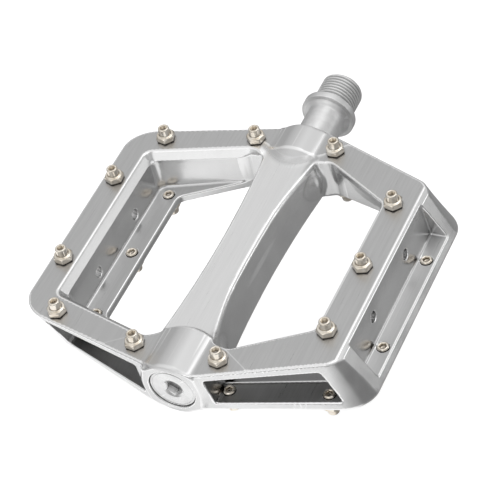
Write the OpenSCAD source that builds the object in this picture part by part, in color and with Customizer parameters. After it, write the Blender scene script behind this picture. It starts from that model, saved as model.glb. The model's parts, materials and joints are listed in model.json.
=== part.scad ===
// Flat bicycle pedal: a caged alloy platform that spins on a threaded spindle.
// Origin: centre of the spindle's crank shoulder face. +X points into the crank,
// +Y to the front rail whose upper edge is the outermost, +Z up. Millimetres.

/* [Platform] */
// Front-to-rear length over the outermost rail edges.
platform_length = 116; // [112:1:120]
// Length of the hub, from one boss end to the other.
hub_length = 108; // [108:0.5:110]
// Height from the upper faces to the lower faces.
platform_thickness = 16; // [15.5:0.5:17]
// Thickness of the upper and lower flanges.
flange_thickness = 2.8; // [2.4:0.1:3.2]
// Wall thickness of the webs that join the flanges.
web_thickness = 2.4; // [2:0.1:3]
// Radius of the round bosses at the two ends of the hub.
boss_radius = 10.3; // [10:0.1:10.8]
// Width of the flat spine at its waist, halfway along the hub.
waist_width = 12.3; // [12.3:0.1:13.5]
// Height of the milled flats on the hub above its axis.
flat_height = 7.2; // [7.1:0.1:7.6]

/* [Spindle] */
// Major radius of the crank thread (9/16 inch, 20 turns an inch).
crank_thread_radius = 7.144; // [7.144:0.001:7.144]
// Length of the crank thread with its end chamfer.
crank_thread_length = 12; // [11:0.5:15]
// Radius of the shoulder that seats on the crank.
shoulder_radius = 9.2; // [9:0.1:10]
// Distance from the shoulder face to the middle of the platform.
platform_offset = 71; // [70:0.5:73]
// Radius of the exposed neck.
neck_radius = 6.5; // [6.5:0.1:6.5]

/* [Traction pins] */
// Height of a pin above the flange face.
pin_height = 4.9; // [3:0.1:6]
// Radius of the threaded shank.
pin_shank_radius = 1.98; // [1.98:0.01:1.98]
// Hexagon size across flats of the pin's collar.
pin_collar_flats = 5.6; // [5:0.1:6]

/* [Hidden] */

$fn = 96;
e = 0.01;
bite = 0.6;
top = platform_thickness / 2;
inner = top - flange_thickness;
half_hub = hub_length / 2;

// Rail edges, measured from the spindle axis. Upper front and lower rear rails match.
wide_edge = platform_length / 2;
narrow_edge = wide_edge - 9.2;
wide_rail_inner = wide_edge - 9;
narrow_rail_inner = narrow_edge - 11.3;
channel_half = 30;

// Hub bore, from the outboard end (negative) to the inboard end, platform centred.
cap_bore_radius = 7.65;
cap_seat = -half_hub + 3.8;
bearing_bore_radius = 6.5;
bearing_width = 5;
bearing_stop = -35.1;
waist_bore_radius = 5.3;
waist_bore_end = 24;
mid_bore_radius = 5.8;
bush_start = 43;
bush_bore_radius = 7;
seal_seat = half_hub - 2.6;
seal_bore_radius = 8.4;
spine_lean = 11.86;
spine_flare = [[8, 0.1], [16, 0.33], [24, 0.75], [31, 1.25], [42, 2.3]];
outboard_step = -36.4;
inboard_step = 42.8;
step_run = 2.6;

// Bearings and their stack on the spindle.
race_gap = 0.5;
inner_bearing_x = bearing_stop - bearing_width / 2;
outer_bearing_x = inner_bearing_x - bearing_width - race_gap;
stack_end = outer_bearing_x - bearing_width / 2;
ball_radius = 1;
pitch_radius = 4.75;
ball_count = 8;
ball_window = 2.12;
groove_radius = 1.03;
seat_radius = 3;
fit = 0.01;
washer_thickness = 0.8;
nut_height = 3.2;
nut_flats = 10;
stub_end = stack_end - washer_thickness - nut_height - 0.3;

// Reflector screw holes through the rail webs.
reflector_hole_radius = 1.75;
reflector_hole_x = 13.3;
reflector_hole_z = 1.8;

// Pin places on the upper face. The lower face is the same, turned about the spindle.
front_pins = [[18.4, 53.4], [39.7, 44.7], [45.8, 14.4]];
rear_pins = [[45.8, -13.7], [27.2, -41.1]];
rear_middle_pin = [0, -41.6];
pin_tip_radius = 1.85;
pin_collar_height = 2.1;
pin_tail = 0.7;
pin_socket_flats = 2;

function hexagon_radius(flats) = flats / 2 / cos(30);
function both_sides(points) =
  concat(points, [for (i = [len(points) - 1 : -1 : 0]) [-points[i][0], points[i][1]]]);

module both_x() { children(); mirror([1, 0, 0]) children(); }
module turned_over() { children(); rotate([180, 0, 0]) children(); }
module rod(start, length, r1, r2) {
  translate([start, 0, 0]) rotate([0, 90, 0]) cylinder(h = length, r1 = r1, r2 = r2);
}
module hex_rod(start, length, flats) {
  translate([start, 0, 0]) rotate([0, 90, 0]) cylinder(h = length, r = hexagon_radius(flats), $fn = 6);
}
module tube(start, length, outer, bore) {
  difference() {
    rod(start, length, outer, outer);
    rod(start - e, length + 2 * e, bore, bore);
  }
}
module centred_on_platform() { translate([-platform_offset, 0, 0]) children(); }

// Upper flange in plan: wide at the front, drawn in at the rear.
module flange_outline() {
  polygon(both_sides([
    [33.5, wide_edge], [37.4, wide_edge - 0.8], [40.4, wide_edge - 2.9],
    [42.1, wide_edge - 5.8], [43.1, wide_edge - 9.6], [51.1, 14.4],
    [half_hub, 2], [half_hub, -7.6], [45.85, -28.7], [40.2, -43.2],
    [39.2, 2.2 - narrow_edge], [37.4, 0.7 - narrow_edge], [34.6, -narrow_edge]
  ]));
}

module front_opening_outline() {
  polygon(both_sides([
    [28.5, wide_rail_inner], [31.4, wide_rail_inner - 0.9], [33.5, wide_rail_inner - 3],
    [39, 26], [41.8, 16], [41.4, 12.8], [39.6, 10], [36.5, 8], [36.5, -e]
  ]));
}

module rear_opening_outline() {
  polygon(both_sides([
    [36.5, e], [36.5, -7.8], [39, -9.6], [40.2, -12.8], [39.6, -16.2], [28.6, -35],
    [27, -36.6], [24.4, -narrow_rail_inner]
  ]));
}

module flange() {
  translate([0, 0, inner]) linear_extrude(height = flange_thickness) difference() {
    flange_outline();
    front_opening_outline();
    rear_opening_outline();
  }
}

// Rail web and corner posts of the rear half, as sections across the rail.
module rail_section(points, start, length) {
  translate([start, 0, 0]) rotate([90, 0, 90]) linear_extrude(height = length) polygon(points);
}

module rear_rail_web() {
  rail_section([
    [0.1 - narrow_edge, inner + bite], [-narrow_edge - 1.7, -inner - bite],
    [-narrow_edge - 1.7 + web_thickness, -inner - bite],
    [0.1 - narrow_edge + web_thickness, inner + bite]
  ], -34, 68);
}

// Solid corner post, clipped to the sloping side and to the rounded lower corner.
module rear_corner_post() {
  intersection() {
    rail_section([
      [5.2 - narrow_edge, inner + bite], [-1.3 - narrow_edge, -inner - bite],
      [1 - wide_edge, -inner - bite], [0.3 - narrow_edge, top - 0.4]
    ], channel_half, 20);
    translate([40.6, -narrow_edge, 0]) rotate([0, 0, -16]) rotate([0, -15, 0])
      translate([-30, -20, -20]) cube([30, 40, 40]);
    linear_extrude(height = 20, center = true) polygon([
      [29, -35], [46, -35], [42, 7.5 - wide_edge], [40.8, 4.2 - wide_edge],
      [37.4, 1.4 - wide_edge], [33, 0.4 - wide_edge], [29, 0.4 - wide_edge]
    ]);
  }
}

module rear_side_web() {
  hull() {
    translate([0, 0, inner + bite]) linear_extrude(height = 0.3) polygon([
      [29.5, 1.8 - narrow_edge], [42.4, -8], [42.4 + web_thickness, -8],
      [29.5 + web_thickness, 1.8 - narrow_edge]
    ]);
    translate([0, 0, -inner - bite - 0.3]) linear_extrude(height = 0.3) polygon([
      [32.4, -0.5 - narrow_edge], [43.5, -8], [43.5 + web_thickness, -8],
      [32.4 + web_thickness, -0.5 - narrow_edge]
    ]);
  }
}

module boss_block() {
  rail_section([[-11, -inner - bite], [11, -inner - bite], [11, inner + bite], [-11, inner + bite]],
    41.5, half_hub - 41.5);
}

// Flat spine between the bosses. It narrows to a waist and its walls lean like the rails.
function spine_side(side) = both_sides([for (i = [len(spine_flare) - 1 : -1 : 0])
  [side * spine_flare[i][0], side * (waist_width / 2 + spine_flare[i][1]) * cos(spine_lean)]]);

module spine() {
  intersection() {
    rotate([-spine_lean, 0, 0]) linear_extrude(height = 30, center = true)
      polygon(concat(spine_side(1), spine_side(-1)));
    translate([-half_hub, -20, -flat_height]) cube([hub_length, 40, 2 * flat_height]);
  }
}

// Round end bosses that die away into the spine, with flats milled between the two end steps.
module hub_bosses() {
  difference() {
    rotate([0, 90, 0]) rotate_extrude() polygon([
      [0, -half_hub], [boss_radius - 1.2, -half_hub], [boss_radius, -half_hub + 1.2],
      [boss_radius, -37.5], [boss_radius - 0.4, -35.5], [6.2, -27.5], [5.85, -25],
      [5.85, 25], [6.2, 27.5], [boss_radius - 0.4, 35.5], [boss_radius, 37.5],
      [boss_radius, half_hub - 1.2], [boss_radius - 1.2, half_hub], [0, half_hub]
    ]);
    turned_over() hub_flat_cut();
  }
}

module hub_flat_cut() {
  translate([outboard_step + step_run, 0, flat_height]) rotate([90, 0, 0])
    linear_extrude(height = 40, center = true) polygon([
      [0, 0], [inboard_step - outboard_step - 2 * step_run, 0],
      [inboard_step - outboard_step, boss_radius], [-step_run, boss_radius]
    ]);
}

module hub_bore() {
  rod(-half_hub - 1, cap_seat + half_hub + 1, cap_bore_radius, cap_bore_radius);
  rod(cap_seat - e, bearing_stop - cap_seat + e, bearing_bore_radius, bearing_bore_radius);
  rod(bearing_stop - e, waist_bore_end - bearing_stop + e, waist_bore_radius, waist_bore_radius);
  rod(waist_bore_end, bush_start - waist_bore_end + e, mid_bore_radius, mid_bore_radius);
  rod(bush_start, seal_seat - bush_start + e, bush_bore_radius, bush_bore_radius);
  rod(seal_seat, half_hub - seal_seat + 1, seal_bore_radius, seal_bore_radius);
}

module reflector_holes() {
  both_x() translate([reflector_hole_x, -narrow_edge - 4, reflector_hole_z]) rotate([-90, 0, 0])
    cylinder(h = 10, r = reflector_hole_radius);
}

module pin_places(front, rear) {
  if (front) both_x() for (p = front_pins) translate([p[0], p[1], top]) children();
  if (rear) {
    both_x() for (p = rear_pins) translate([p[0], p[1], top]) children();
    translate([rear_middle_pin[0], rear_middle_pin[1], top]) children();
  }
}

module platform_body() {
  color([0.78, 0.79, 0.8]) centred_on_platform() difference() {
    union() {
      turned_over() {
        flange();
        rear_rail_web();
        both_x() { rear_corner_post(); rear_side_web(); }
      }
      both_x() boss_block();
      spine();
      hub_bosses();
    }
    hub_bore();
    turned_over() {
      reflector_holes();
      pin_places(true, true)
        translate([0, 0, -flange_thickness - 3]) cylinder(h = flange_thickness + 4, r = pin_shank_radius + 0.02);
    }
  }
}

module spindle() {
  color([0.62, 0.63, 0.65]) difference() {
    union() {
      rod(0, crank_thread_length - 1, crank_thread_radius, crank_thread_radius);
      rod(crank_thread_length - 1 - e, 1 + e, crank_thread_radius, crank_thread_radius - 1);
      rod(-2.5, 2.5 + e, shoulder_radius, shoulder_radius);
      rod(-3.7, 1.2 + e, neck_radius, neck_radius + 1);
      rod(seal_seat - 0.2 - platform_offset, platform_offset + 0.2 - seal_seat - 2.5 + e,
        neck_radius, neck_radius);
      centred_on_platform() {
        rod(bush_start + 0.2, seal_seat - bush_start - 0.4 + e, 6, 6);
        rod(bearing_stop, bush_start + 0.2 - bearing_stop + e, 4.2, 5.4);
        rod(stub_end + 0.4, bearing_stop - stub_end - 0.4 + e, seat_radius, seat_radius);
        rod(stub_end, 0.4 + e, seat_radius - 0.4, seat_radius);
      }
    }
    hex_rod(crank_thread_length - 8, 9, 6);
    rod(crank_thread_length - 0.5, 0.5 + e, 3.1, 3.8);
  }
}

module inboard_seal() {
  color([0.08, 0.08, 0.08]) centred_on_platform()
    tube(seal_seat + 0.1, 2.2, seal_bore_radius - fit, neck_radius + 0.05);
}

module inboard_bush() {
  color([0.55, 0.45, 0.3]) centred_on_platform()
    tube(bush_start + 0.1, 8, bush_bore_radius - fit, 6.04);
}

// One deep-groove bearing, 6 mm bore, 13 mm across and 5 mm wide, piece by piece.
module outer_race(x) {
  color([0.7, 0.7, 0.72]) centred_on_platform() difference() {
    tube(x - bearing_width / 2, bearing_width, bearing_bore_radius - fit, 5.55);
    ball_groove(x);
  }
}

module inner_race(x) {
  color([0.7, 0.7, 0.72]) centred_on_platform() difference() {
    tube(x - bearing_width / 2, bearing_width, 3.95, seat_radius + fit);
    ball_groove(x);
  }
}

module ball_groove(x) {
  translate([x, 0, 0]) rotate([0, 90, 0]) rotate_extrude()
    translate([pitch_radius, 0]) circle(r = groove_radius);
}

module balls(x) {
  color([0.85, 0.86, 0.88]) centred_on_platform() translate([x, 0, 0])
    for (i = [0 : ball_count - 1])
      rotate([i * 360 / ball_count, 0, 0]) translate([0, 0, pitch_radius]) sphere(r = ball_radius);
}

module cage(x) {
  color([0.72, 0.6, 0.35]) centred_on_platform() difference() {
    tube(x - 1.5, 3, 5.15, 4.35);
    translate([x, 0, 0]) for (i = [0 : ball_count - 1])
      rotate([i * 360 / ball_count, 0, 0]) translate([-ball_window / 2, -ball_window / 2, 3])
        cube([ball_window, ball_window, 4]);
  }
}

module shields(x) {
  color([0.1, 0.1, 0.11]) centred_on_platform()
    for (side = [-1, 1]) tube(x + side * 2.3 - 0.15, 0.3, 5.54, 4.05);
}

module inner_bearing_outer_race() { outer_race(inner_bearing_x); }
module inner_bearing_inner_race() { inner_race(inner_bearing_x); }
module inner_bearing_balls() { balls(inner_bearing_x); }
module inner_bearing_cage() { cage(inner_bearing_x); }
module inner_bearing_shields() { shields(inner_bearing_x); }
module outer_bearing_outer_race() { outer_race(outer_bearing_x); }
module outer_bearing_inner_race() { inner_race(outer_bearing_x); }
module outer_bearing_balls() { balls(outer_bearing_x); }
module outer_bearing_cage() { cage(outer_bearing_x); }
module outer_bearing_shields() { shields(outer_bearing_x); }

module race_spacer() {
  color([0.66, 0.67, 0.69]) centred_on_platform()
    tube(inner_bearing_x - bearing_width / 2 - race_gap, race_gap, 4.1, seat_radius + fit);
}

module spindle_washer() {
  color([0.6, 0.61, 0.63]) centred_on_platform()
    tube(stack_end - washer_thickness, washer_thickness, 4.6, seat_radius + fit);
}

module lock_nut() {
  color([0.5, 0.51, 0.53]) centred_on_platform() difference() {
    hex_rod(stack_end - washer_thickness - nut_height, nut_height, nut_flats);
    rod(stack_end - washer_thickness - nut_height - e, nut_height + 2 * e,
      seat_radius + fit, seat_radius + fit);
  }
}

module end_cap() {
  color([0.82, 0.83, 0.84]) centred_on_platform() difference() {
    union() {
      rod(cap_seat - 2.6, 2.6, cap_bore_radius - 0.05, cap_bore_radius - 0.05);
      rod(cap_seat - 3, 0.4 + e, cap_bore_radius - 0.35, cap_bore_radius - 0.05);
    }
    hex_rod(cap_seat - 4, 3, 5);
    difference() {
      rod(cap_seat - 1.3, 1, cap_bore_radius + 1, cap_bore_radius + 1);
      rod(cap_seat - 1.4, 1.2, 6.75, 6.75);
    }
  }
}

module cap_o_ring() {
  color([0.07, 0.07, 0.07]) centred_on_platform() translate([cap_seat - 0.8, 0, 0])
    rotate([0, 90, 0]) rotate_extrude() translate([7.2, 0]) circle(r = 0.42);
}

// Traction pin standing on the flange face, with a key socket at each end.
module pin() {
  difference() {
    union() {
      cylinder(h = pin_collar_height, r = hexagon_radius(pin_collar_flats), $fn = 6);
      cylinder(h = pin_height - 0.3, r = pin_tip_radius);
      translate([0, 0, pin_height - 0.3 - e])
        cylinder(h = 0.3 + e, r1 = pin_tip_radius, r2 = pin_tip_radius - 0.3);
      translate([0, 0, -flange_thickness - pin_tail])
        cylinder(h = flange_thickness + pin_tail + e, r = pin_shank_radius);
    }
    translate([0, 0, pin_height - 1.8]) cylinder(h = 3, r = hexagon_radius(pin_socket_flats), $fn = 6);
    translate([0, 0, -flange_thickness - pin_tail - 1])
      cylinder(h = 2.2, r = hexagon_radius(pin_socket_flats), $fn = 6);
  }
}

module pin_group(front, rear) {
  color([0.86, 0.82, 0.74]) centred_on_platform() pin_places(front, rear) pin();
}
module pin_group_below(front, rear) {
  color([0.86, 0.82, 0.74]) centred_on_platform() rotate([180, 0, 0])
    pin_places(front, rear) pin();
}

module pins_top_front() { pin_group(true, false); }
module pins_top_rear() { pin_group(false, true); }
module pins_bottom_front() { pin_group_below(false, true); }
module pins_bottom_rear() { pin_group_below(true, false); }

platform_body();
spindle();
inboard_seal();
inboard_bush();
inner_bearing_outer_race();
inner_bearing_inner_race();
inner_bearing_balls();
inner_bearing_cage();
inner_bearing_shields();
outer_bearing_outer_race();
outer_bearing_inner_race();
outer_bearing_balls();
outer_bearing_cage();
outer_bearing_shields();
race_spacer();
spindle_washer();
lock_nut();
end_cap();
cap_o_ring();
pins_top_front();
pins_top_rear();
pins_bottom_front();
pins_bottom_rear();
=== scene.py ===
"""Looks for the flat pedal. Lengths inside the shape functions are millimetres, centred on the platform."""

import json
import math

import bpy
import numpy as np
from mathutils import Matrix, Vector

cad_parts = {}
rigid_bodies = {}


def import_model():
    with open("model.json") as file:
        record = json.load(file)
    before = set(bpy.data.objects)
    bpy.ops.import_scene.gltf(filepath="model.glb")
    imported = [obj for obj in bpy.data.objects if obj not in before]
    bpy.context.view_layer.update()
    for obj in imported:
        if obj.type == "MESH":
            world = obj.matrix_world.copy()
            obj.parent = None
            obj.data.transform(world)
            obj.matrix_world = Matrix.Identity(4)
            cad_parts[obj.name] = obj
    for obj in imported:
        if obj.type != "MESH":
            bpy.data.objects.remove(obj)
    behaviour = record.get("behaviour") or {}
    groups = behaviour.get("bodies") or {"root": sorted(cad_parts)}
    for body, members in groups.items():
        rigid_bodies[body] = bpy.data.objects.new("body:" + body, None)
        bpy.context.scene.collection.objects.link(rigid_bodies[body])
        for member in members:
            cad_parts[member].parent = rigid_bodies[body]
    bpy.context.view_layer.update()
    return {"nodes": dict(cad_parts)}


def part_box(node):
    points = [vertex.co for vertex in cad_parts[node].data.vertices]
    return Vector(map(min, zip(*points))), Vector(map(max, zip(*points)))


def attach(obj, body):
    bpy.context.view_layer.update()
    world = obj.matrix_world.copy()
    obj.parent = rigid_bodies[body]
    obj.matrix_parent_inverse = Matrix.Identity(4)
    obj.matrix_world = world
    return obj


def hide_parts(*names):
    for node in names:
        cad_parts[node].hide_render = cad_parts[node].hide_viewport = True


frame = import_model()

MM = 0.001
body_low, body_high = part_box("platform_body")
PLATFORM_X = (body_low.x + body_high.x) / 2 / MM  # the platform's middle; its origin is at the crank's face


# ---------------------------------------------------------------- distance fields

COS_45 = 0.707  # makes a sum of two square distances the distance to a bevel between them


def round_max(a, b, r):
    """Intersection of two distance fields with its convex edge rounded."""
    return np.minimum(-r, np.maximum(a, b)) + np.hypot(np.maximum(a + r, 0), np.maximum(b + r, 0))


def round_min(a, b, r):
    """Union of two distance fields with a fillet where they meet."""
    return -round_max(-a, -b, r)


def ease(share):
    """0 to 1, with a soft start and a soft end."""
    share = np.clip(share, 0, 1)
    return share * share * (3 - 2 * share)


def rounded_outline(corners, steps=9):
    """Corners (x, y, radius) to a list of points, with an arc at each corner that has a radius."""
    points = []
    for i, (x, y, r) in enumerate(corners):
        p = Vector((x, y))
        if not r:
            points.append((x, y))
            continue
        a = (Vector(corners[i - 1][:2]) - p).normalized()
        b = (Vector(corners[(i + 1) % len(corners)][:2]) - p).normalized()
        half = a.angle(b) / 2
        centre = p + (a + b).normalized() * (r / math.sin(half))
        first = p + a * (r / math.tan(half)) - centre
        last = p + b * (r / math.tan(half)) - centre
        start = math.atan2(first.y, first.x)
        sweep = math.atan2(last.y, last.x) - start
        sweep = (sweep + math.pi) % (2 * math.pi) - math.pi
        for k in range(steps + 1):
            t = start + sweep * k / steps
            points.append((centre.x + r * math.cos(t), centre.y + r * math.sin(t)))
    return points


def outline_distance(x, y, points):
    """Signed distance to a closed outline, negative inside."""
    best = inside = None
    for (ax, ay), (bx, by) in zip(points, points[1:] + points[:1]):
        ex, ey = bx - ax, by - ay
        if ex == 0 and ey == 0:
            continue
        wx, wy = x - ax, y - ay
        t = np.clip((wx * ex + wy * ey) / (ex * ex + ey * ey), 0, 1)
        d = (wx - ex * t) ** 2 + (wy - ey * t) ** 2
        above, below, left = wy >= 0, y < by, ex * wy > ey * wx
        crossing = (above & below & left) | (~above & ~below & ~left)
        best = d if best is None else np.minimum(best, d)
        inside = crossing if inside is None else inside ^ crossing
    return np.where(inside, -1.0, 1.0) * np.sqrt(best)


# Flanges, webs and outline. A pair is a length at the upper face, and what is added down to the lower face.
TOP = 8.0                      # flange face above the spindle axis
FLANGE = 2.8                   # thickness of a flange
INNER = TOP - FLANGE
WEB = 2.4                      # thickness of the side web
BEVEL = 0.5                    # on the outer edges of the flanges
SIDE = (54.47, 2.43)           # x of the side face beside the hub
SIDE_SLOPE = (0.2351, 0.1489)  # how much that x falls for each unit of y
RAIL = (58.0, -9.2)            # y of the rail's outer face
RAIL_SQUARE = 0.867            # from a distance along y to one square to the leaning rail
CORNER = (7.5, -4.5)           # radius where side and rail meet

# A quarter of each opening, as (x, y, radius). The wide one is in the flange whose rail edge is the outer one.
WIDE_OPENING = rounded_outline([
    (-6, -6, 0), (22, -6, 0), (22, 6.4, 0), (43.8, 8.2, 7), (32.9, 49, 3.4), (-6, 49, 0)])
NARROW_OPENING = rounded_outline([
    (-6, -6, 0), (14, -6, 0), (14, 3.5, 0), (33, 6.3, 6), (39.6, 8.9, 3), (40.7, 14.4, 4), (27.1, 37.5, 3.2),
    (-6, 37.5, 0)])
OPENING_END = 49               # y of the wide opening's edge along the rail
CHAMFER = 0.78                 # how far the wide opening's edge leans in, for each unit down

# Webs between the flanges. A slope is what is added for each unit along or up.
SIDE_WEB_LOW = (30.6, -0.336, 43.2)   # x of its inner face at the lower flange, slope along y, and at which y
SIDE_WEB_HIGH = (34, -0.271, 45)      # the same at the upper flange, before the chamfer
RAIL_WEB = 50.5                # y of the rail web's outer face at the upper flange
RAIL_LEAN = 0.129              # slope of its faces
CHANNEL_END = 29.7             # x where the channel outside it ends at the corner post
POST = (43.8, 0.59)            # y of the corner post's near face 5 below the axis, and its slope
POCKET_START = (11.5, 0.14)    # y where the pocket outside the side web starts at the axis, and its slope
LIP = 47.8                     # y where the sloped cut under the lower rail edge starts

# Holes: the pins as (x, y), the reflector's screw as (x, z, radius), the hub's steps as (start, end, radius).
WIDE_PINS = [(18.4, 53.4), (39.7, 44.7), (45.8, 14.4)]
NARROW_PINS = [(45.8, 13.7), (27.2, 41.1), (0.0, 41.6)]
PIN_HOLE = 2.03
REFLECTOR_HOLE = (13.3, -1.8, 1.75)
BORE = [(-60, -50.2, 7.65), (-50.3, -35.1, 6.5), (-35.2, 24, 5.3), (23.9, 43, 5.8), (42.9, 51.4, 7.0),
        (51.3, 60, 8.4)]

# The hub: a flat spine between two round bosses.
END = 54.0                     # half its length
HUB = 5.8                      # radius inside the spine
BOSS = 10.3                    # radius of the bosses
BOSS_START = (25, 13)          # where the radius starts to grow, and over what length
FLAT = 7.1                     # the spine's flat faces above the axis
FLAT_ENDS = (-35.0, 38.9)
WAIST = 6.15                   # half the spine's width at its middle
WIDENING = 1.25                # what each side has gained 31 mm out
SPINE_END = 38                 # past this the bosses take over
LEAN_IN = 0.21                 # how far the spine's walls lean across, for each unit up
SPINE_BEVEL = 0.6


def wing_distance(ax, y, z):
    """The railed wing on the side where the upper rail edge is the outer one. ax is |x| and y is at least 0."""
    down = (TOP - z) / (2 * TOP)
    slope = SIDE_SLOPE[0] + SIDE_SLOPE[1] * down
    side = (ax - (SIDE[0] + SIDE[1] * down) + slope * y) / np.sqrt(1 + slope ** 2)
    rail = (y - (RAIL[0] + RAIL[1] * down)) * RAIL_SQUARE
    outline = round_max(side, rail, CORNER[0] + CORNER[1] * down)
    outer = round_max(outline, np.abs(z) - TOP, 0.3)
    outer = np.maximum(outer, (outline + np.abs(z) - TOP + BEVEL) * COS_45)

    # The opening inside the webs, with a chamfer down the upper flange's edge.
    rise = (z + INNER) / (2 * INNER)
    low_x = SIDE_WEB_LOW[0] + SIDE_WEB_LOW[1] * (y - SIDE_WEB_LOW[2])
    high_x = SIDE_WEB_HIGH[0] - CHAMFER * FLANGE + SIDE_WEB_HIGH[1] * (y - SIDE_WEB_HIGH[2])
    wall_x = low_x + (high_x - low_x) * rise
    wall_y = OPENING_END - CHAMFER * FLANGE + RAIL_LEAN * (z - INNER)
    tube = round_max((ax - wall_x) * 0.95, y - wall_y, 2.4)
    chamfer = CHAMFER * np.clip(TOP - z, 0, FLANGE)
    rim = outline_distance(ax, y, WIDE_OPENING) + chamfer
    wide = np.where(z > INNER, rim, np.maximum(rim, tube))
    wide = round_max(wide, -INNER - z, 0.9)
    narrow = outline_distance(ax, y, NARROW_OPENING)

    # The channel outside the rail web, and the pocket outside the side web.
    web_y = RAIL_WEB - RAIL_LEAN * (INNER - z)
    channel = round_max(round_max(web_y - y, z - INNER, 0.6), ax - CHANNEL_END, 0.6)
    post_y = POST[0] + POST[1] * (z + 5)
    ends = round_max((y - post_y) * 0.861, POCKET_START[0] + POCKET_START[1] * z - y, 1)
    pocket = round_max(round_max(WEB - tube, np.abs(z) - INNER, 0.7), ends, 0.9)

    wing = outer
    for hollow, edge in ((wide, 0.5), (narrow, 0.5), (channel, 0.4), (pocket, 0.45)):
        wing = round_max(wing, -hollow, edge)
    wing = round_max(wing, (y - LIP) * 0.53 - (z + TOP) * 0.848, 0.15)
    hole = np.hypot(ax - REFLECTOR_HOLE[0], z - REFLECTOR_HOLE[1]) - REFLECTOR_HOLE[2]
    wing = round_max(wing, -np.maximum(hole, np.maximum(40 - y, y - 55)), 0.2)
    for places, upper in ((WIDE_PINS, 1), (NARROW_PINS, -1)):
        for px, py in places:
            hole = np.maximum(np.hypot(ax - px, y - py) - PIN_HOLE, 4 - upper * z)
            wing = round_max(wing, -hole, 0.12)
    return wing


def platform_distance(x, y, z):
    """The whole platform: two wings, each the other turned half a turn about the axis, and the hub."""
    wing = wing_distance(np.abs(x), np.abs(y), np.where(y < 0, -z, z))
    reach = np.hypot(y, z)
    level = np.abs(z)
    along = np.abs(x)
    run = np.minimum(along, SPINE_END)
    upright = 0.0022 * np.maximum(run - 14, 0) ** 2  # towards the bosses the walls stand up as the spine widens
    wall = np.abs(y - (LEAN_IN - upright / FLAT) * z) - WAIST - WIDENING * (run / 31) ** 2 - upright
    wall = wall / math.hypot(1, LEAN_IN)
    bevel = (wall + level - FLAT + SPINE_BEVEL) * COS_45
    spine = round_max(np.maximum(wall, level - FLAT - 0.4), bevel, 0.3)
    hub = reach - (HUB + (BOSS - HUB) * ease((along - BOSS_START[0]) / BOSS_START[1]))

    # The spine's flat faces run out in a steep cone at each boss, and rise to the flanges on both sides.
    inboard = (x - FLAT_ENDS[1]) * 0.67 - (reach - FLAT) * 0.743
    outboard = (FLAT_ENDS[0] - x) * 0.82 - (reach - FLAT) * 0.572
    upper_y = np.where(z < 0, -y, y)
    aside = np.maximum(upper_y - 8.2, -5.6 - upper_y) / 4.5
    flat = FLAT + (TOP + 0.05 - FLAT) * ease(aside)
    cut = round_max(flat - level, np.maximum(inboard, outboard), np.where(x > 0, 2.2, 0.5))
    body = round_min(round_min(wing, hub, 1.5), spine, 0.5)
    body = round_max(body, -cut, 0.35)
    body = round_max(body, np.abs(x) - END, 1.3)
    for start, end, radius in BORE:
        step = np.maximum(reach - radius, np.maximum(start - x, x - end))
        body = round_max(body, -step, 0.25)
    return body


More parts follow.
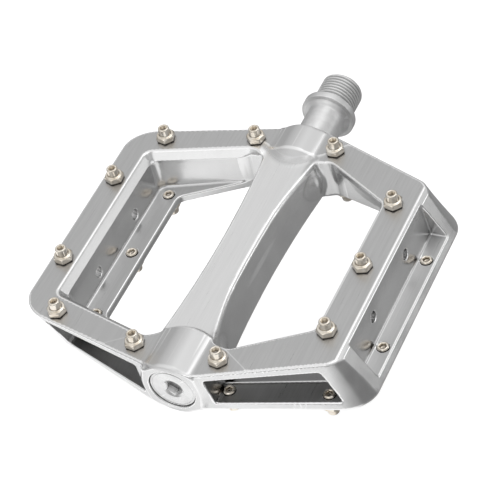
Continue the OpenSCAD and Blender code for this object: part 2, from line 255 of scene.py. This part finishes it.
def surface_mesh(distance, low, high, step):
    """Vertices, four-sided faces and vertex bend of the surface where distance is 0.

    Each grid cell that the surface crosses gets one vertex, which is then drawn onto the surface.
    """
    axes = [(np.arange(math.floor(a / step), math.ceil(b / step) + 1) + 0.5) * step for a, b in zip(low, high)]
    value = distance(axes[0][:, None, None], axes[1][None, :, None], axes[2][None, None, :]).astype(np.float32)
    inside = value < 0
    for _ in range(3):  # fill the grid squares that would pinch the surface to a shared edge
        for one, two in ((0, 1), (0, 2), (1, 2)):
            beside, above = np.roll(inside, -1, one), np.roll(inside, -1, two)
            opposite = np.roll(above, -1, one)
            pinch = np.argwhere((inside == opposite) & (beside == above) & (inside != beside))
            for i in (0, 1):
                for j in (0, 1):
                    at = pinch.copy()
                    at[:, one] += i
                    at[:, two] += j
                    inside[tuple(at.T)] = True
    value = np.where(inside, np.minimum(value, -0.001), value)
    cells = tuple(n - 1 for n in value.shape)
    count = np.zeros(cells, np.int8)
    offsets = [(i, j, k) for i in (0, 1) for j in (0, 1) for k in (0, 1)]
    for i, j, k in offsets:
        count += inside[i:i + cells[0], j:j + cells[1], k:k + cells[2]]
    place = np.argwhere((count > 0) & (count < 8))
    index = np.full(cells, -1, np.int64)
    index[tuple(place.T)] = np.arange(len(place))
    corner = [value[place[:, 0] + i, place[:, 1] + j, place[:, 2] + k] for i, j, k in offsets]
    total, hits = np.zeros((len(place), 3)), np.zeros(len(place))
    for a in range(8):
        for b in range(a + 1, 8):
            if sum(p != q for p, q in zip(offsets[a], offsets[b])) != 1:
                continue
            crossed = (corner[a] < 0) != (corner[b] < 0)
            with np.errstate(divide="ignore", invalid="ignore"):
                t = np.where(crossed, corner[a] / (corner[a] - corner[b]), 0.0)
            at = np.array(offsets[a]) + t[:, None] * (np.array(offsets[b]) - np.array(offsets[a]))
            total += np.where(crossed[:, None], at, 0)
            hits += crossed
    points = (place + total / hits[:, None]) * step + [a[0] for a in axes]

    faces = []
    for axis in range(3):
        one, two = [s for s in range(3) if s != axis]
        ahead = np.roll(inside, -1, axis)
        changed = inside != ahead
        for s in range(3):
            edge = [slice(None)] * 3
            edge[s] = -1
            changed[tuple(edge)] = False
            if s != axis:
                edge[s] = 0
                changed[tuple(edge)] = False
        at = np.argwhere(changed)
        quad = []
        for back_one, back_two in ((1, 1), (0, 1), (0, 0), (1, 0)):
            cell = at.copy()
            cell[:, one] -= back_one
            cell[:, two] -= back_two
            quad.append(index[tuple(cell.T)])
        quad = np.stack(quad, 1)
        flip = inside[tuple(at.T)] == (axis == 1)
        quad[flip] = quad[flip][:, ::-1]
        faces.append(quad)
    faces = np.concatenate(faces)

    reach = 0.02  # for the field's slope
    for _ in range(4):
        here = distance(*points.T)
        slope = np.stack([distance(*(points + reach * unit).T) - distance(*(points - reach * unit).T)
                          for unit in np.eye(3)], 1) / (2 * reach)
        size = np.maximum((slope ** 2).sum(1), 0.2)
        points -= np.clip(here / size, -0.5 * step, 0.5 * step)[:, None] * slope
    reach = 0.5  # for its curvature
    bend = sum(distance(*(points + reach * unit).T) + distance(*(points - reach * unit).T)
               for unit in np.eye(3)) / reach ** 2
    return points, faces, bend


def mesh_object(name, points, faces):
    """A smooth object from platform-centred millimetre points."""
    mesh = bpy.data.meshes.new(name)
    placed = (np.asarray(points, float) + [PLATFORM_X, 0, 0]) * MM
    mesh.from_pydata(placed.tolist(), [], faces)
    mesh.update()
    mesh.polygons.foreach_set("use_smooth", [True] * len(mesh.polygons))
    obj = bpy.data.objects.new(name, mesh)
    bpy.context.scene.collection.objects.link(obj)
    return obj


def apply_modifiers(obj):
    dg = bpy.context.evaluated_depsgraph_get()
    done = bpy.data.meshes.new_from_object(obj.evaluated_get(dg), depsgraph=dg)
    old = obj.data
    obj.modifiers.clear()
    obj.data = done
    bpy.data.meshes.remove(old)
    done.name = obj.name


def shade_flats(obj, breadth):
    """Corner normals and the bend for painted light: a face broader than breadth is flat and gets no painted
    highlight or shade, the rest follow their vertices.

    Faces square to an axis get none either, however small.
    """
    mesh = obj.data
    count = len(mesh.polygons)
    normal, area, total = np.zeros(count * 3), np.zeros(count), np.zeros(count, np.int32)
    mesh.polygons.foreach_get("normal", normal)
    mesh.polygons.foreach_get("area", area)
    mesh.polygons.foreach_get("loop_total", total)
    vertex, edge = np.zeros(len(mesh.loops), np.int32), np.zeros(len(mesh.loops), np.int32)
    mesh.loops.foreach_get("vertex_index", vertex)
    mesh.loops.foreach_get("edge_index", edge)
    ends, place = np.zeros(len(mesh.edges) * 2, np.int32), np.zeros(len(mesh.vertices) * 3)
    mesh.edges.foreach_get("vertices", ends)
    mesh.vertices.foreach_get("co", place)
    place, ends = place.reshape(-1, 3), ends.reshape(-1, 2)
    length = np.linalg.norm(place[ends[:, 0]] - place[ends[:, 1]], axis=1)
    face = np.repeat(np.arange(count), total)
    rim = np.bincount(face, length[edge], count)
    normal = normal.reshape(-1, 3)
    mean = np.stack([np.bincount(vertex, normal[face, k] * area[face], len(place)) for k in range(3)], 1)
    mean /= np.maximum(np.linalg.norm(mean, axis=1), 1e-12)[:, None]
    broad = 4 * area / rim > breadth
    mesh.normals_split_custom_set(np.where(broad[face][:, None], normal[face], mean[vertex]).tolist())
    bend = np.zeros(len(place))
    mesh.attributes["bend"].data.foreach_get("value", bend)
    # Vertex bend that paints highlights on convex edges and shade in hollows of the alloy.
    worn = mesh.attributes.new("worn", "FLOAT", "CORNER")
    level = broad | (np.abs(normal).max(1) > math.cos(math.radians(0.4)))
    worn.data.foreach_set("value", np.where(level[face], 0, bend[vertex]).astype(np.float32))


# ---------------------------------------------------------------- turned and pressed parts

def profile_path(corners, steps=4):
    """An open path of (along, radius) points from corners (along, radius, fillet). Both ends are sharp."""
    last = len(corners) - 1
    return rounded_outline([(along, radius, fillet if 0 < i < last else 0)
                            for i, (along, radius, fillet) in enumerate(corners)], steps)


def lathe(rings, sides, axis, start_pole=None, end_pole=None, closed=False):
    """Points and faces of rings round an axis, "x" or "z".

    A ring is (along, radius), and each of them is one number or a number for each side. A pole is a point
    on the axis that closes an end. A closed lathe joins its last ring to its first.
    """
    angle = np.arange(sides) * 2 * math.pi / sides
    points, faces = [], []
    for along, radius in rings:
        along = np.broadcast_to(np.asarray(along, float), sides)
        radius = np.broadcast_to(np.asarray(radius, float), sides)
        u, v = radius * np.cos(angle), radius * np.sin(angle)
        points.append(np.stack([along, u, v], 1) if axis == "x" else np.stack([u, v, along], 1))
    points = np.concatenate(points)
    n = len(rings)
    for r in range(n if closed else n - 1):
        a, b = r * sides, (r + 1) % n * sides
        for s in range(sides):
            t = (s + 1) % sides
            faces.append((a + s, a + t, b + t, b + s))
    extra = []
    for pole, base, order in ((start_pole, 0, -1), (end_pole, (n - 1) * sides, 1)):
        if pole is None:
            continue
        tip = len(points) + len(extra)
        extra.append((pole, 0, 0) if axis == "x" else (0, 0, pole))
        for s in range(sides):
            t = (s + 1) % sides
            faces.append((base + s, base + t, tip)[::order])
    if extra:
        points = np.concatenate([points, np.array(extra, float)])
    return points, faces


def hexagon(flats, sides):
    """Radius of a hexagon at each of the sides' angles."""
    angle = np.arange(sides) * 2 * math.pi / sides
    return flats / 2 / np.cos((angle + math.pi / 6) % (math.pi / 3) - math.pi / 6)


SPINDLE_TIP = -45.0
THREAD_RADIUS = 7.12
THREAD_DEPTH = 0.72
THREAD_LENGTH = 12.0
PITCH = 1.27
RINGS_PER_TURN = 9


def spindle_rings(sides):
    """The one-piece steel spindle from its stub in the bearings to the crank end, with a left-hand thread."""
    angle = np.arange(sides) * 2 * math.pi / sides
    crank = -PLATFORM_X  # the shoulder's face, which bears on the crank
    root, undercut = THREAD_RADIUS - THREAD_DEPTH, 6.45
    rings = profile_path([
        (SPINDLE_TIP, 2.2, 0), (SPINDLE_TIP, 3.0, 0.3), (-35.1, 3.0, 0.1), (-35.1, 4.2, 0.2), (43.2, 5.4, 0.2),
        (43.2, 6.0, 0.2), (51.2, 6.0, 0.2), (51.2, 6.5, 0.2), (crank - 3.9, 6.5, 1.2), (crank - 2.6, 7.9, 0.5),
        (crank - 2.5, 9.2, 0.35), (crank, 9.2, 0.45), (crank, 6.5, 0.4), (crank + 0.9, undercut, 0)])
    first, face = crank + 0.9, crank + THREAD_LENGTH
    for k in range(1, int((face - first) / PITCH * RINGS_PER_TURN) + 1):
        along = first + k * PITCH / RINGS_PER_TURN
        phase = (along / PITCH + angle / (2 * math.pi)) % 1.0
        ridge = np.clip(1.35 * (1 - np.abs(2 * phase - 1)) - 0.12, 0, 1)
        fade = min(1.0, (along - first) / 0.6)
        radius = undercut + (root - undercut) * fade + THREAD_DEPTH * ridge * fade
        lead_in = max(0.0, along - (face - 1.1))
        rings.append((along, np.minimum(radius, THREAD_RADIUS - lead_in)))
    rings += [(face, 5.85), (face, 5.6), (face - 0.02, 4.2), (face - 0.1, 3.95)]
    six = hexagon(6.0, sides)
    return rings + [(face - 0.55, np.maximum(six, 3.5)), (face - 0.8, six), (face - 7.8, six),
                    (face - 8.0, six * 0.9)]


def pin_rings(sides):
    """A traction pin: socketed tip, chamfered hexagon collar, grooved shank with a second socket."""
    six = hexagon(5.6, sides)
    socket = hexagon(2.0, sides)
    rings = [(-2.35, socket * 0.9), (-2.5, socket), (-3.35, socket), (-3.5, np.maximum(socket, 1.25)),
             (-3.5, 1.55)]
    for k in range(5):
        z = -3.4 + 0.7 * k
        rings += [(z, 1.72 if k else 1.66), (z + 0.3, 1.97), (z + 0.42, 1.97)]
    rings += [(-0.05, 1.9), (0.0, 2.4), (0.02, np.minimum(six, 2.75))]
    for z in (0.22, 0.6, 1.2, 1.55, 1.8, 1.95, 2.06, 2.1):
        upper_chamfer = 3.26 - (0.6075 * ((z - 1.45) / 0.65) ** 1.4 if z > 1.5 else 0)
        lower_chamfer = 2.86 + z * 1.6
        rings.append((z, np.minimum(six, min(upper_chamfer, lower_chamfer))))
    rings += [(2.12, 2.35), (2.2, 2.05), (2.38, 1.9), (4.45, 1.86), (4.7, 1.78), (4.86, 1.62), (4.9, 1.45)]
    rings += [(4.9, np.maximum(socket, 1.24)), (4.72, socket), (3.1, socket), (3.02, socket * 0.9)]
    return rings


def cap_rings(sides):
    """End cap with a key socket and a shallow step round its rim."""
    six = hexagon(5.0, sides)
    inner_end = [(-50.6, 0.6), (-50.25, 5.2), (-50.2, 6.9), (-50.3, 7.5), (-50.45, 7.58), (-50.6, 7.6),
                 (-51.4, 7.6)]
    rim = [(-53.0, 7.6), (-53.3, 7.52), (-53.42, 7.35), (-53.45, 7.1), (-53.45, 6.95), (-53.33, 6.85),
           (-53.33, 6.75), (-53.45, 6.65), (-53.46, 6.5)]
    key_socket = [(-53.5, 3.9), (-53.4, 3.6), (-53.0, np.maximum(six, 3.12)), (-52.8, six), (-51.1, six),
                  (-51.0, six * 0.92)]
    return (inner_end + rim + key_socket)[::-1]


def seal_rings():
    """Rubber seal with a lip that bears on the spindle's neck, as a closed section."""
    return profile_path([(51.45, 7.5, 0), (51.45, 8.38, 0.15), (53.6, 8.38, 0.25), (53.7, 7.7, 0.15),
                         (53.35, 7.3, 0.2), (53.9, 6.75, 0.1), (53.75, 6.56, 0.1), (52.3, 6.56, 0.2),
                         (51.45, 7.0, 0.2), (51.45, 7.5, 0)], 3)[:-1]


# ---------------------------------------------------------------- materials

class Tree:
    """A short way to write node trees."""

    def __init__(self, owner):
        owner.use_nodes = True
        self.tree = owner.node_tree
        self.tree.nodes.clear()

    def add(self, kind, inputs=None, **settings):
        node = self.tree.nodes.new(kind)
        for key, value in settings.items():
            setattr(node, key, value)
        for key, value in (inputs or {}).items():
            if isinstance(value, bpy.types.NodeSocket):
                self.tree.links.new(value, node.inputs[key])
            else:
                node.inputs[key].default_value = value
        return node

    def math(self, how, a, b=0.5, c=0.5):
        return self.add("ShaderNodeMath", {0: a, 1: b, 2: c}, operation=how).outputs[0]

    def span(self, value, low, high, to_low, to_high):
        """A smooth step from to_low to to_high while the value goes from low to high."""
        return self.add("ShaderNodeMapRange", {0: value, 1: low, 2: high, 3: to_low, 4: to_high},
                        interpolation_type="SMOOTHSTEP").outputs[0]

    def mix(self, share, a, b):
        """Colour a where the share is 0 and b where it is 1."""
        return self.add("ShaderNodeMix", {0: share, 6: a, 7: b}, data_type="RGBA").outputs[2]

    def openness(self, distance):
        """Low where other surfaces stand close by."""
        return self.add("ShaderNodeAmbientOcclusion", {"Distance": distance}, samples=8).outputs["AO"]

    def noise(self, scale, stretch=(1, 1, 1), detail=3.0, rough=0.55):
        where = self.add("ShaderNodeTexCoord").outputs["Object"]
        mapping = self.add("ShaderNodeMapping", {"Vector": where, "Scale": stretch})
        return self.add("ShaderNodeTexNoise", {"Vector": mapping.outputs[0], "Scale": scale, "Detail": detail,
                                               "Roughness": rough}).outputs["Fac"]


def grey(v):
    return (v, v, v, 1)


def finish_tree(t, colour, metallic, roughness, height=None, strength=0.2, depth=0.00002, **extra):
    """Ends a material's tree with its shader, and returns the shader and the output node."""
    shader = t.add("ShaderNodeBsdfPrincipled",
                   {"Base Color": colour, "Metallic": metallic, "Roughness": roughness, **extra})
    if height is not None:
        bump = t.add("ShaderNodeBump", {"Strength": strength, "Distance": depth, "Height": height})
        t.tree.links.new(bump.outputs[0], shader.inputs["Normal"])
    out = t.add("ShaderNodeOutputMaterial")
    t.tree.links.new(shader.outputs[0], out.inputs[0])
    return shader, out


def alloy_material():
    """Machined faces are brushed along the spindle, webs are polished, bevels get a painted highlight, and
    hollows, pocket backs and close corners get painted shade.
    """
    mat = bpy.data.materials.new("platform_alloy_look")
    t = Tree(mat)
    coord = t.add("ShaderNodeTexCoord")
    normal = t.add("ShaderNodeSeparateXYZ", {0: coord.outputs["Normal"]})
    where = t.add("ShaderNodeSeparateXYZ", {0: coord.outputs["Object"]})
    along = t.math("SUBTRACT", where.outputs[0], PLATFORM_X * MM)
    across = t.math("ABSOLUTE", where.outputs[1])
    level = t.math("ABSOLUTE", where.outputs[2])
    grain = t.noise(1.0, (70, 2600, 2600), 4, 0.6)
    fine = t.noise(1.0, (260, 5200, 5200), 2, 0.5)
    cloud = t.noise(55, detail=4)
    speck = t.noise(2600, detail=2)

    # Where the zones are: level faces, the spine's flats, the bosses' crowns, edges with a painted highlight
    # and inner corners with painted shade.
    flat = t.span(t.math("ABSOLUTE", normal.outputs[2]), 0.93, 0.995, 0, 1)
    spine_flat = t.math("MULTIPLY", t.span(level, (FLAT + 0.2) * MM, (FLAT + 0.5) * MM, 1, 0),
                        t.span(level, (FLAT - 0.5) * MM, (FLAT - 0.2) * MM, 0, 1))
    spine_flat = t.math("MULTIPLY", spine_flat, flat)
    boss = t.math("MULTIPLY", t.span(level, (TOP + 0.2) * MM, (TOP + 0.6) * MM, 0, 1),
                  t.span(across, 0.0095, 0.0105, 1, 0))
    bend = t.add("ShaderNodeAttribute", attribute_name="worn").outputs["Fac"]
    # Painted highlight on convex edges.
    edge = t.span(bend, 0.25, 1.2, 0, 1)
    # Painted shade in concave hollows.
    hollow = t.span(bend, -0.3, -1.2, 0, 1)

    # The back wall of the side pockets faces outward, between the flanges and inside the side faces, and gets
    # painted shade.
    outward = t.span(t.math("MULTIPLY", normal.outputs[0], along), 0.025, 0.032, 0, 1)
    pocket = t.math("MULTIPLY", t.span(across, 0.0125, 0.0135, 0, 1),
                    t.span(level, (INNER - 0.8) * MM, INNER * MM, 1, 0))
    sunk = t.math("ADD", t.math("ABSOLUTE", along), t.math("MULTIPLY", across, 0.3))
    pocket = t.math("MULTIPLY", pocket, t.span(sunk, 0.050, 0.053, 1, 0))

    face_colour = t.mix(t.span(grain, 0.3, 0.7, 0, 1), grey(0.48), grey(0.535))
    spine_colour = t.mix(t.span(grain, 0.3, 0.7, 0, 1), grey(0.76), grey(0.80))
    face_colour = t.mix(spine_flat, face_colour, spine_colour)
    web_colour = t.mix(t.span(cloud, 0.3, 0.7, 0, 1), grey(0.65), grey(0.76))
    colour = t.mix(flat, web_colour, face_colour)
    colour = t.mix(boss, colour, grey(0.66))
    # Painted shade: hollows mixed towards darker grey.
    colour = t.mix(t.math("MULTIPLY", hollow, 0.35), colour, grey(0.45))
    # Painted highlight: edges mixed towards near white.
    colour = t.mix(t.math("MULTIPLY", edge, 0.8), colour, grey(0.95))
    # Painted shade on the side pockets' back walls.
    colour = t.mix(t.math("MULTIPLY", t.math("MULTIPLY", pocket, outward), 0.8), colour, grey(0.22))
    # Painted shade where other surfaces stand close by.
    colour = t.mix(t.span(t.openness(0.003), 0.7, 0.35, 0, 0.6), colour, grey(0.2))

    face_rough = t.span(grain, 0.25, 0.75, 0.27, 0.42)
    web_rough = t.span(cloud, 0.25, 0.75, 0.18, 0.28)
    rough = t.mix(flat, web_rough, face_rough)
    rough = t.mix(boss, rough, grey(0.48))
    marks = t.math("MULTIPLY", t.math("ADD", fine, speck), 0.35)
    height = t.math("ADD", t.math("MULTIPLY", grain, flat), marks)
    finish_tree(t, colour, 1.0, rough, height, 0.25, 0.00003)
    return mat


def turned_material(name, base, rough, rings=2600, strength=0.2, shelter=0.0012):
    """Metal with fine marks round the X axis from the lathe. Edges get a painted highlight and creases painted
    shade; hollows get painted shade over the shelter distance.
    """
    mat = bpy.data.materials.new(name)
    t = Tree(mat)
    marks = t.noise(1.0, (rings, 40, 40), 3, 0.6)
    cloud = t.noise(180, detail=4)
    bend = t.add("ShaderNodeNewGeometry").outputs["Pointiness"]
    colour = t.mix(t.span(cloud, 0.3, 0.7, 0, 1), grey(base * 0.9), grey(base * 1.06))
    # Painted highlight on edges.
    colour = t.mix(t.span(bend, 0.52, 0.6, 0, 0.7), colour, grey(min(1, base * 1.35)))
    # Painted shade in creases.
    colour = t.mix(t.span(bend, 0.48, 0.40, 0, 0.6), colour, grey(base * 0.55))
    # Painted shade in hollows, over the shelter distance.
    colour = t.mix(t.span(t.openness(shelter), 0.85, 0.35, 0, 0.85), colour, grey(base * 0.22))
    finish_tree(t, colour, 1.0, t.span(marks, 0.25, 0.75, rough * 0.8, rough * 1.25), marks, strength, 0.00002)
    return mat


def plated_material():
    """Nickel-plated pins: warm, bright, with slight tarnish, painted highlights on edges and painted shade in
    sockets and crevices.
    """
    mat = bpy.data.materials.new("pin_nickel_look")
    t = Tree(mat)
    cloud = t.noise(420, detail=4)
    fine = t.noise(3000, detail=2)
    bend = t.add("ShaderNodeNewGeometry").outputs["Pointiness"]
    colour = t.mix(t.span(cloud, 0.35, 0.7, 0, 1), (0.74, 0.67, 0.57, 1), (0.90, 0.85, 0.77, 1))
    # Painted highlight on edges.
    colour = t.mix(t.span(bend, 0.53, 0.62, 0, 0.8), colour, (1.0, 0.97, 0.91, 1))
    # Painted shade in sockets and crevices, near black.
    colour = t.mix(t.span(t.openness(0.0016), 0.8, 0.35, 0, 1), colour, (0.07, 0.05, 0.035, 1))
    finish_tree(t, colour, 1.0, t.span(cloud, 0.3, 0.7, 0.09, 0.18), fine, 0.15, 0.00002)
    return mat


def rubber_material(name):
    mat = bpy.data.materials.new(name)
    t = Tree(mat)
    fine = t.noise(2400, detail=3)
    cloud = t.noise(150, detail=3)
    colour = t.mix(t.span(cloud, 0.3, 0.7, 0, 1), grey(0.012), grey(0.03))
    finish_tree(t, colour, 0.0, t.span(fine, 0.3, 0.7, 0.45, 0.7), fine, 0.3, 0.00003)
    return mat


def brass_material(name, colour_a, colour_b, rough):
    mat = bpy.data.materials.new(name)
    t = Tree(mat)
    marks = t.noise(1.0, (2200, 60, 60), 3, 0.6)
    cloud = t.noise(240, detail=4)
    colour = t.mix(t.span(cloud, 0.3, 0.7, 0, 1), colour_a, colour_b)
    finish_tree(t, colour, 1.0, t.span(marks, 0.25, 0.75, rough * 0.8, rough * 1.2), marks, 0.2, 0.00002)
    return mat


ALLOY = alloy_material()
STEEL = turned_material("spindle_steel_look", 0.80, 0.48)
# The cap's longer shelter distance paints deep shade into its key socket.
CAP = turned_material("cap_alloy_look", 0.76, 0.26, rings=900, shelter=0.004)
RACE = turned_material("race_steel_look", 0.66, 0.16)
FASTENER = turned_material("fastener_steel_look", 0.45, 0.32)
BALL = turned_material("ball_steel_look", 0.82, 0.07, rings=300, strength=0.02)
NICKEL = plated_material()
RUBBER = rubber_material("seal_rubber_look")
SHIELD = rubber_material("shield_rubber_look")
RING = rubber_material("ring_rubber_look")
BRASS = brass_material("cage_brass_look", (0.62, 0.45, 0.20, 1), (0.78, 0.60, 0.30, 1), 0.25)
BRONZE = brass_material("bush_bronze_look", (0.42, 0.27, 0.13, 1), (0.56, 0.38, 0.20, 1), 0.38)


# ---------------------------------------------------------------- pieces

def piece(obj, body, material, node):
    """Gives an object its material, and lets it ride on the body in the node's place."""
    obj.data.materials.clear()
    obj.data.materials.append(material)
    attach(obj, body)
    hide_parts(node)


GRID = 0.42
BROAD = 1.6         # a face this broad is one of the machined flats
SIDES = 96          # of the turned pieces
PIN_SIDES = 48

points, faces, bend = surface_mesh(platform_distance, (-56, -60, -12), (56, 60, 12), GRID)
platform = mesh_object("platform_casting", points, faces.tolist())
attribute = platform.data.attributes.new("bend", "FLOAT", "POINT")
attribute.data.foreach_set("value", bend.astype(np.float32))
flatten = platform.modifiers.new("flats", "DECIMATE")
flatten.decimate_type = "DISSOLVE"
flatten.angle_limit = math.radians(0.35)
apply_modifiers(platform)
shade_flats(platform, BROAD * MM)
piece(platform, "platform", ALLOY, "platform_body")

rings = spindle_rings(SIDES)
points, faces = lathe(rings, SIDES, "x", start_pole=SPINDLE_TIP, end_pole=rings[-1][0] - 0.6)
spindle = mesh_object("threaded_spindle", points, faces)
piece(spindle, "spindle_assembly", STEEL, "spindle")

points, faces = lathe(cap_rings(SIDES), SIDES, "x", start_pole=-50.9, end_pole=-50.62)
cap = mesh_object("cap_with_socket", points, faces)
piece(cap, "platform", CAP, "end_cap")

points, faces = lathe(seal_rings(), SIDES, "x", closed=True)
seal = mesh_object("lip_seal", points, faces)
piece(seal, "platform", RUBBER, "inboard_seal")

draw = np.random.default_rng(7)
pin_points, pin_faces = lathe(pin_rings(PIN_SIDES), PIN_SIDES, "z", start_pole=-2.4, end_pole=2.9)
for name, places, upper, front in (("pins_top_front", WIDE_PINS, 1, 1), ("pins_top_rear", NARROW_PINS, 1, -1),
                                   ("pins_bottom_front", NARROW_PINS, -1, 1),
                                   ("pins_bottom_rear", WIDE_PINS, -1, -1)):
    points, faces = [], []
    for px, py in places:
        for side in ((1, -1) if px else (1,)):
            turn = draw.uniform(0, math.pi / 3)  # each pin stops at its own angle
            c, s = math.cos(turn), math.sin(turn)
            turned = pin_points @ np.array([[c, s, 0], [-s, c, 0], [0, 0, 1]])
            base = len(points) * len(pin_points)
            points.append(turned * [1, upper, upper] + [side * px, front * py, upper * TOP])
            faces += [tuple(base + v for v in f) for f in pin_faces]
    pins = mesh_object(name.replace("pins", "studs"), np.concatenate(points), faces)
    piece(pins, "platform", NICKEL, name)

# The nodes whose exact shape is right get only a material.
CARRIED = {"inboard_bush": BRONZE, "race_spacer": FASTENER, "spindle_washer": FASTENER, "lock_nut": FASTENER,
           "cap_o_ring": RING}
for side in ("inner", "outer"):
    for part, material in (("outer_race", RACE), ("inner_race", RACE), ("balls", BALL), ("cage", BRASS),
                           ("shields", SHIELD)):
        CARRIED[f"{side}_bearing_{part}"] = material
for name, material in CARRIED.items():
    node = frame["nodes"][name]
    if not node.data.materials:
        node.data.materials.append(material)
    for slot in node.material_slots:
        slot.material = material

for obj in (spindle, cap, seal, *[o for o in bpy.data.objects if o.name.startswith("studs_")]):
    obj.modifiers.new("shading", "WEIGHTED_NORMAL").keep_sharp = False


# ---------------------------------------------------------------- floor, light, camera

FLOOR_Z = -0.066        # below the reach of the turned platform
FLOOR_HALF = 3.0
BRIGHT = (0.055, 0.09)  # where the floor beyond the cap turns bright, in metres from the origin
FAR = (0.25, 0.6)       # where it turns dark again
LIGHT_DISTANCE = 0.9


def toward(azimuth, elevation):
    """A direction as the view tool counts it: azimuth 0 is at -Y and 90 at +X."""
    a, e = math.radians(azimuth), math.radians(elevation)
    return Vector((math.sin(a) * math.cos(e), -math.cos(a) * math.cos(e), math.sin(e)))


def floor_material():
    """White to the camera and clear from below; in reflections it shows painted shade as grey, a painted pool
    of light that glows beyond the cap, and darker grey far away.
    """
    mat = bpy.data.materials.new("studio_floor_look")
    t = Tree(mat)
    seen = t.add("ShaderNodeLightPath").outputs["Is Camera Ray"]
    geometry = t.add("ShaderNodeNewGeometry")
    spot = t.add("ShaderNodeSeparateXYZ", {0: geometry.outputs["Position"]})
    away = t.add("ShaderNodeVectorMath", {0: geometry.outputs["Position"]}, operation="LENGTH")
    beyond = t.math("MULTIPLY_ADD", spot.outputs[1], 0.53, t.math("MULTIPLY", spot.outputs[0], -0.85))
    # In reflections: painted shade as grey, turning to a painted bright pool beyond the cap, then darker far
    # off.
    reflected_shade_and_glow = t.mix(t.span(beyond, *BRIGHT, 0, 1), grey(0.38), grey(0.95))
    reflected_shade_and_glow = t.mix(t.span(away.outputs["Value"], *FAR, 0, 1), reflected_shade_and_glow, grey(0.22))
    # The painted pool of light beyond the cap glows in reflections; to the camera the whole floor glows evenly
    # white.
    lit = t.math("MAXIMUM", t.math("MULTIPLY", seen, 0.45), t.span(beyond, *BRIGHT, 0, 0.3))
    solid, out = finish_tree(t, t.mix(seen, reflected_shade_and_glow, grey(0.9)), 0.0, 0.9,
                             **{"Emission Color": grey(1.0), "Emission Strength": lit})
    below = t.math("MULTIPLY", seen, geometry.outputs["Backfacing"])
    clear = t.add("ShaderNodeBsdfTransparent").outputs[0]
    shown = t.add("ShaderNodeMixShader", {0: below, 1: solid.outputs[0], 2: clear})
    t.tree.links.new(shown.outputs[0], out.inputs[0])
    return mat


floor_mesh = bpy.data.meshes.new("studio_floor")
corners = [(x * FLOOR_HALF, y * FLOOR_HALF, FLOOR_Z) for x, y in ((-1, -1), (1, -1), (1, 1), (-1, 1))]
floor_mesh.from_pydata(corners, [], [(0, 1, 2, 3)])
floor_mesh.materials.append(floor_material())
floor = bpy.data.objects.new("studio_floor", floor_mesh)
bpy.context.scene.collection.objects.link(floor)

# Surroundings: brighter upwards, with soft panels. A panel is its azimuth, elevation, brightness, and inner and
# outer half angle in degrees. The camera sees them as white.
SKY = (-0.12, 0.5, 0.16, 0.60)  # from this sine of the elevation to that one, and the brightness at each
PANELS = [(80, 58, 1.2, 5, 15), (35, 7, 1.5, 6, 13), (-125, 35, 0.15, 12, 50), (0, 90, 0.2, 10, 40),
          (-92, 28, 0.5, 8, 26), (121, 46, 0.22, 12, 40)]
world = bpy.data.worlds.new("studio")
bpy.context.scene.world = world
t = Tree(world)
direction = t.add("ShaderNodeTexCoord").outputs["Generated"]
height = t.add("ShaderNodeSeparateXYZ", {0: direction}).outputs[2]
glow = t.span(height, *SKY)
for azimuth, elevation, brightness, inner, outer in PANELS:
    aligned = t.add("ShaderNodeVectorMath", {0: direction, 1: toward(azimuth, elevation)},
                    operation="DOT_PRODUCT").outputs["Value"]
    panel = t.span(aligned, math.cos(math.radians(outer)), math.cos(math.radians(inner)), 0.0, brightness)
    glow = t.math("ADD", glow, panel)
glow = t.math("MAXIMUM", glow, t.add("ShaderNodeLightPath").outputs["Is Camera Ray"])
shade = t.add("ShaderNodeBackground", {"Color": grey(1.0), "Strength": glow})
out = t.add("ShaderNodeOutputWorld")
t.tree.links.new(shade.outputs[0], out.inputs[0])


def softbox(name, azimuth, elevation, width, height, power):
    """A large area light that faces the platform's middle."""
    centre = Vector((PLATFORM_X * MM, 0, 0))
    away = toward(azimuth, elevation)
    light = bpy.data.lights.new(name, "AREA")
    light.shape, light.size, light.size_y, light.energy = "RECTANGLE", width, height, power
    obj = bpy.data.objects.new(name, light)
    obj.location = centre + away * LIGHT_DISTANCE
    obj.rotation_mode = "QUATERNION"
    obj.rotation_quaternion = away.to_track_quat("Z", "Y")
    bpy.context.scene.collection.objects.link(obj)


softbox("key_softbox", 10, 64, 0.8, 0.7, 1.0)
softbox("fill_softbox", -130, 50, 0.9, 0.8, 0.35)

# The photograph's viewpoint and what it looks at, in metres, and its lean in degrees.
VIEWPOINT = Vector((-0.47297, -0.28415, 0.47617))
AIM = Vector((-0.0655, 0.0005, 0.0))
LEAN = -15.6
LENS = 158.0
SENSOR = 36.0
camera_data = bpy.data.cameras.new("photo_camera")
camera_data.lens, camera_data.sensor_width = LENS, SENSOR
camera_data.clip_start, camera_data.clip_end = 0.05, 20.0
camera = bpy.data.objects.new("photo_camera", camera_data)
camera.location = VIEWPOINT
look = (AIM - VIEWPOINT).to_track_quat("-Z", "Y")
camera.rotation_mode = "QUATERNION"
camera.rotation_quaternion = look @ Matrix.Rotation(math.radians(LEAN), 3, "Z").to_quaternion()
bpy.context.scene.collection.objects.link(camera)
bpy.context.scene.camera = camera
bpy.context.scene.view_settings.view_transform = "Standard"
